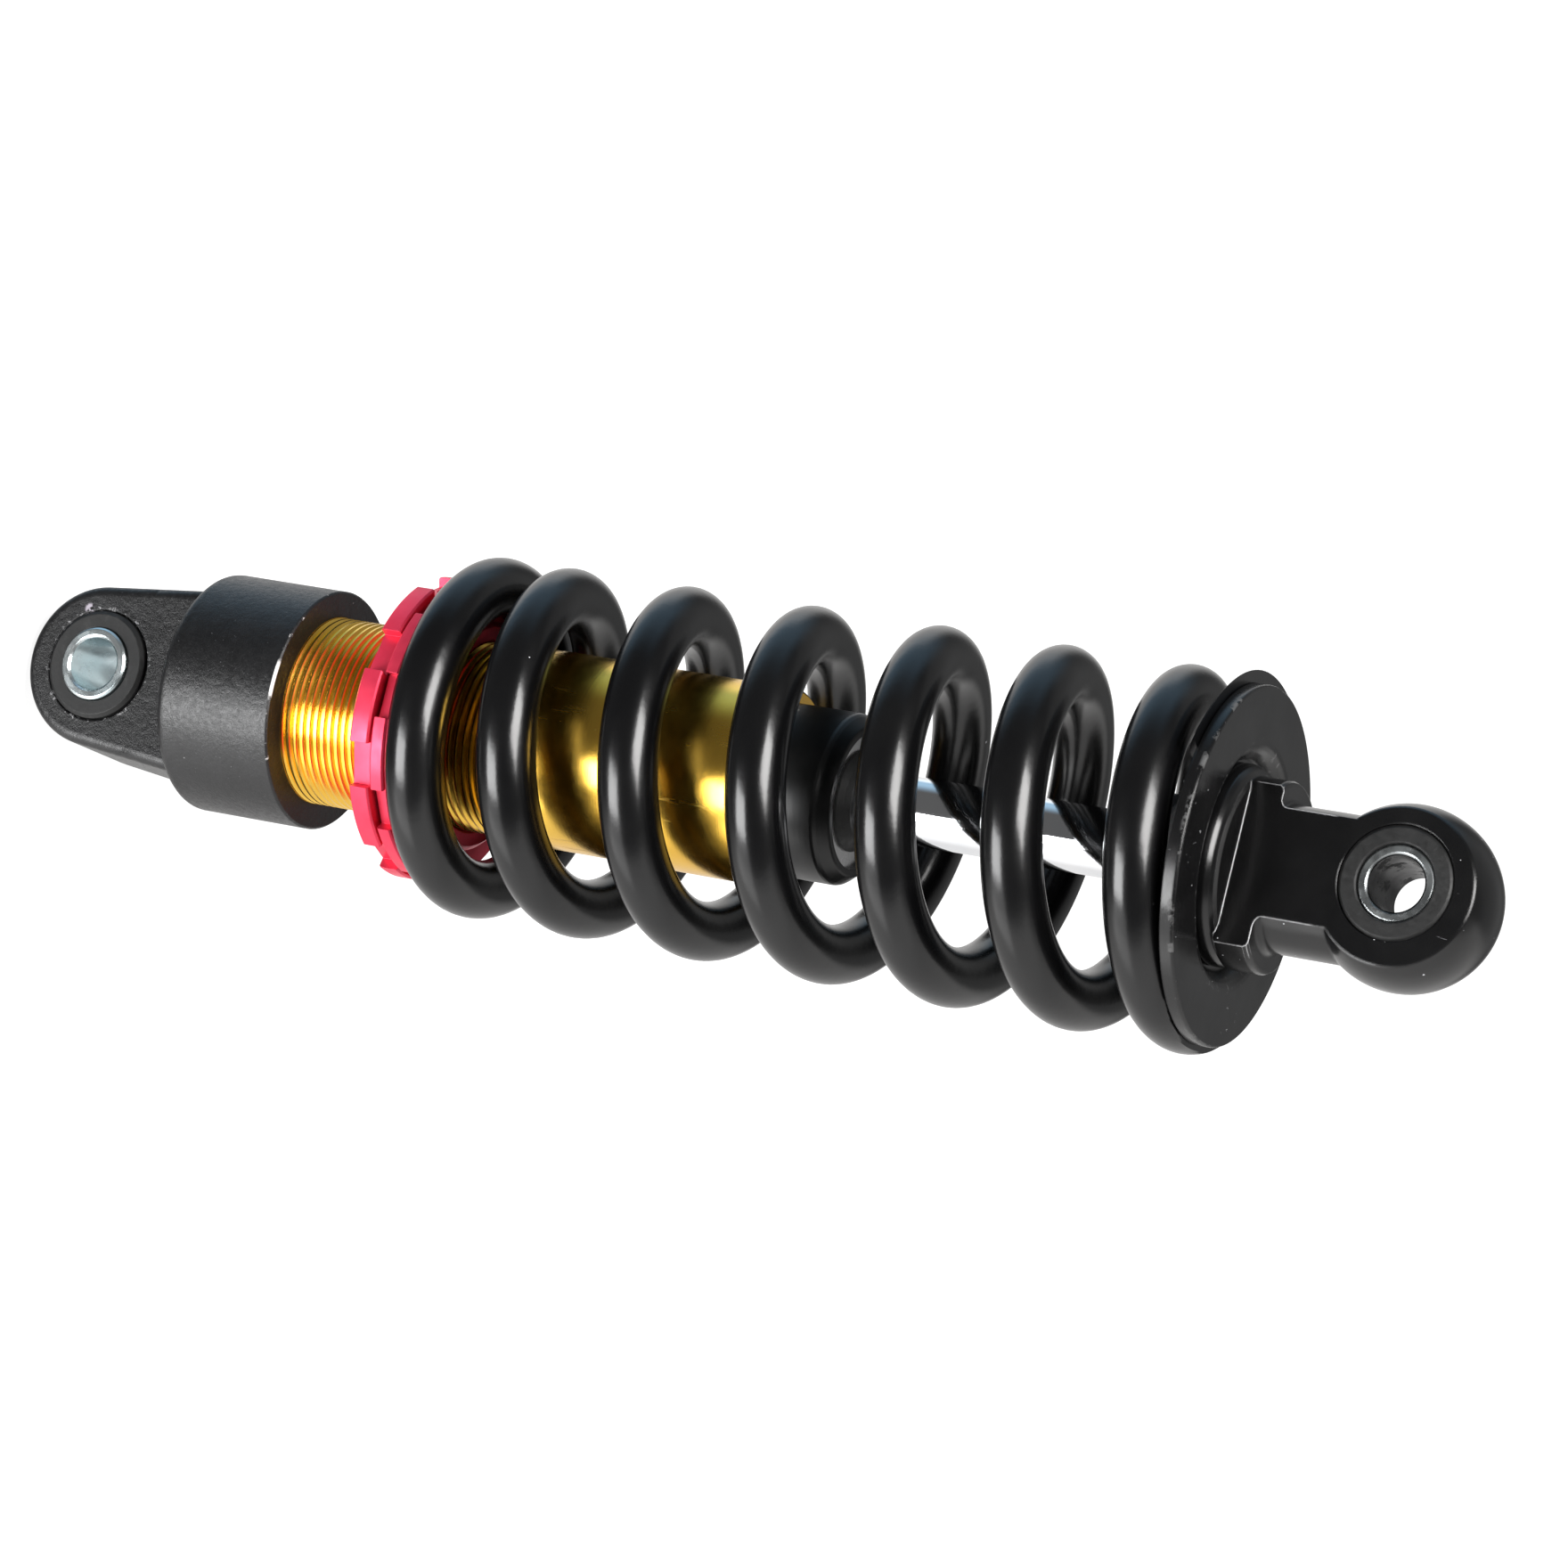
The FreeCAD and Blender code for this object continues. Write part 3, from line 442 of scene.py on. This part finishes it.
def wire(name, t0, t1, cap0, cap1, sides=40, per_half=64):
    """A stretch of the spring wire as a closed-section tube, cut flat at the ground planes. Returns the object and each vertex's t."""
    n = max(2, int(round((t1 - t0) * per_half)))
    ts = np.linspace(t0, t1, n + 1)
    verts, faces, param = [], [], []
    for t in ts:
        p = coil_point(t)
        e = 1e-3
        tan = coil_point(t + e) - coil_point(t - e)
        tan /= np.linalg.norm(tan)
        out = np.array([p[0], p[1], 0.0])
        out /= np.linalg.norm(out)
        out -= tan * (out @ tan)
        out /= np.linalg.norm(out)
        up = np.cross(tan, out)
        if up[2] < 0:
            up = -up
        for k in range(sides):
            f = 2 * math.pi * k / sides
            rho, h = WIRE_R * math.cos(f), WIRE_R * math.sin(f)
            z = p[2] + h
            for plane, sign in ((GROUND_Z0, -1), (GROUND_Z1, 1)):
                if (z - plane) * sign > 0:
                    deep = (p[2] - plane) * sign
                    if deep > 0:
                        c = math.sqrt(max(0.0, WIRE_R ** 2 - deep ** 2))
                        rho = max(-c, min(c, rho))
                    h = plane - p[2]
                    z = plane
            q = p + out * rho + up * h
            q[2] = min(max(q[2], GROUND_Z0), GROUND_Z1)
            verts.append(q * MM)
            param.append(t)
    for i in range(n):
        for k in range(sides):
            a, b = i * sides + k, i * sides + (k + 1) % sides
            faces.append((a, b, b + sides, a + sides))
    if cap0:
        faces.append(tuple(range(sides - 1, -1, -1)))
    if cap1:
        faces.append(tuple(n * sides + k for k in range(sides)))
    me = bpy.data.meshes.new(name)
    me.from_pydata([tuple(v) for v in verts], [], faces)
    me.validate(clean_customdata=False)
    me.update()
    o = bpy.data.objects.new(name, me)
    bpy.context.scene.collection.objects.link(o)
    import bmesh
    bm = bmesh.new()
    bm.from_mesh(me)
    bmesh.ops.recalc_face_normals(bm, faces=bm.faces)
    # the coat rounds the cut edges a little, so only they stay crisp
    for e_ in bm.edges:
        if len(e_.link_faces) == 2 and e_.calc_face_angle(0) > math.radians(28):
            e_.smooth = False
    for f_ in bm.faces:
        f_.smooth = len(f_.verts) == 4
    bm.to_mesh(me)
    bm.free()
    me.materials.append(SPRING)
    return o, np.array(param)


JOIN = 3.5
low, t_low = wire("coil_spring_seat_turns", _T[0], JOIN, True, False)
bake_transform(low)
high, t_high = wire("coil_spring_active_turns", JOIN, _T[-1], False, True)
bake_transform(high)
for o in (low, high):
    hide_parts("coil_spring")

# ---------------------------------------------------------------- camera
R = np.array([[-0.2091063223, 0.3958691122, 0.8941824154],
              [0.9735888120, 0.1699747779, 0.1524250636],
              [-0.0916480828, 0.9024390400, -0.4209565394]])
cam = bpy.data.cameras.new("camera")
cam.lens, cam.sensor_width, cam.sensor_fit = 123.628, 36.0, "HORIZONTAL"
cam.clip_start, cam.clip_end = 0.05, 40.0
cam_o = bpy.data.objects.new("camera", cam)
bpy.context.scene.collection.objects.link(cam_o)
m4 = Matrix.Identity(4)
for c, axis in enumerate((R[0], -R[1], -R[2])):
    for r in range(3):
        m4[r][c] = float(axis[r])
for r, v in enumerate((0.0896576, -0.8907027, 0.5577180)):
    m4[r][3] = v
cam_o.matrix_world = m4
bpy.context.scene.camera = cam_o


# ---------------------------------------------------------------- floor and light
def direction(az, el):
    a, e = math.radians(az), math.radians(el)
    return Vector((math.sin(a) * math.cos(e), -math.cos(a) * math.cos(e), math.sin(e)))


def softbox(name, az, el, dist, w, h, radiance, color=(1, 1, 1), at=(0, 0, 0.14), roll=0.0):
    d = bpy.data.lights.new(name, "AREA")
    d.shape, d.size, d.size_y = "RECTANGLE", w, h
    d.energy = radiance * math.pi * w * h
    d.color = color
    o = bpy.data.objects.new(name, d)
    bpy.context.scene.collection.objects.link(o)
    back = direction(az, el)
    o.location = Vector(at) + back * dist
    o.rotation_mode = "QUATERNION"
    o.rotation_quaternion = back.to_track_quat("Z", "Y") @ Matrix.Rotation(roll, 3, "Z").to_quaternion()
    o.visible_camera = False
    return o


softbox("key_softbox", -27, 54, 1.1, 0.62, 0.56, 17.0, (1.0, 0.99, 0.98))
softbox("fill_softbox", 26, -30, 1.0, 0.44, 0.62, 13.0, (0.99, 0.995, 1.0))

pale = Mat("pale_floor")
pale.set(color=pale.mix(pale.noise(3.0, 2), (0.33, 0.33, 0.33), (0.36, 0.36, 0.355)), rough=0.7,
         emit=(1.0, 1.0, 1.0, 1.0), emit_s=0.90)
me = bpy.data.meshes.new("floor")
ring = [(9.0 * math.cos(2 * math.pi * k / 64), 9.0 * math.sin(2 * math.pi * k / 64), LO0.z - 0.0002) for k in range(64)]
me.from_pydata(ring, [], [tuple(range(64))])
floor = bpy.data.objects.new("floor", me)
me.materials.append(pale.m)
bpy.context.scene.collection.objects.link(floor)
floor.visible_glossy = False
floor.visible_shadow = False

sweep = Mat("pale_sweep")
sweep.set(color=(0.0, 0.0, 0.0), rough=1.0, emit=(1.0, 1.0, 1.0, 1.0), emit_s=1.02)
verts, faces = [], []
for j in range(9):
    e = math.radians(-2 + 92 * j / 8 * 0.999)
    for k in range(64):
        a = 2 * math.pi * k / 64
        verts.append((9 * math.cos(a) * math.cos(e), 9 * math.sin(a) * math.cos(e), 9 * math.sin(e)))
for j in range(8):
    for k in range(64):
        a, b = j * 64 + k, j * 64 + (k + 1) % 64
        faces.append((a, a + 64, b + 64, b))
faces.append(tuple(8 * 64 + k for k in range(64)))
me = bpy.data.meshes.new("sweep")
me.from_pydata(verts, [], faces)
me.materials.append(sweep.m)
dome = bpy.data.objects.new("sweep", me)
bpy.context.scene.collection.objects.link(dome)
for k in ("visible_diffuse", "visible_glossy", "visible_transmission", "visible_volume_scatter", "visible_shadow"):
    setattr(dome, k, False)

world = bpy.data.worlds.new("studio")
bpy.context.scene.world = world
world.use_nodes = True
w = Mat.__new__(Mat)
w.t = world.node_tree
w.t.nodes.clear()
w.co = w.n("ShaderNodeTexCoord").outputs["Generated"]
dx, dy, dz = w.xyz()
el = w.math("MULTIPLY", w.math("ARCSINE", dz), 180 / math.pi)


def azimuth_from(mid):
    """Degrees round from an azimuth, -180 to 180."""
    c, s = math.cos(math.radians(mid)), math.sin(math.radians(mid))
    fx = w.math("SUBTRACT", w.math("MULTIPLY", dx, c), w.math("MULTIPLY", w.math("MULTIPLY", dy, -1.0), s))
    fy = w.math("ADD", w.math("MULTIPLY", dx, s), w.math("MULTIPLY", w.math("MULTIPLY", dy, -1.0), c))
    return w.math("MULTIPLY", w.math("ARCTAN2", fx, fy), 180 / math.pi)


def patch(mid, half, soft, e0, e1, esoft, color):
    a = w.math("ABSOLUTE", azimuth_from(mid))
    m = w.times(w.span(a, half - soft, half + soft, 1.0, 0.0), w.span(el, e0 - esoft, e0 + esoft),
                w.span(el, e1 - esoft, e1 + esoft, 1.0, 0.0))
    return w.mix(m, (0.0, 0.0, 0.0), color)


def add(a, b):
    node = w.n("ShaderNodeVectorMath", operation="ADD")
    w.t.links.new(a, node.inputs[0])
    w.t.links.new(b, node.inputs[1])
    return node.outputs[0]


total = w.mix(w.span(el, -60, 60), (0.10, 0.10, 0.10), (0.14, 0.14, 0.14))
for args in ((112, 52, 8, -66, 66, 14, (0.80, 0.79, 0.78)),
             (205, 40, 9, -66, -8, 9, (0.85, 0.84, 0.83)),
             (205, 44, 10, 12, 60, 10, (0.16, 0.16, 0.16)),
             (80, 24, 14, -58, 58, 12, (0.30, 0.30, 0.30)),
             (60, 20, 7, -52, -8, 7, (1.4, 1.4, 1.4)),
             (-101, 21, 19, -58, 16, 13, (0.30, 0.52, 0.72))):
    total = add(total, patch(*args))
bg = w.n("ShaderNodeBackground")
bg.inputs["Strength"].default_value = 1.0
w.t.links.new(total, bg.inputs["Color"])
wo = w.n("ShaderNodeOutputWorld")
w.t.links.new(bg.outputs[0], wo.inputs[0])

bpy.context.scene.view_settings.view_transform = "Standard"
bpy.context.scene.view_settings.look = "None"
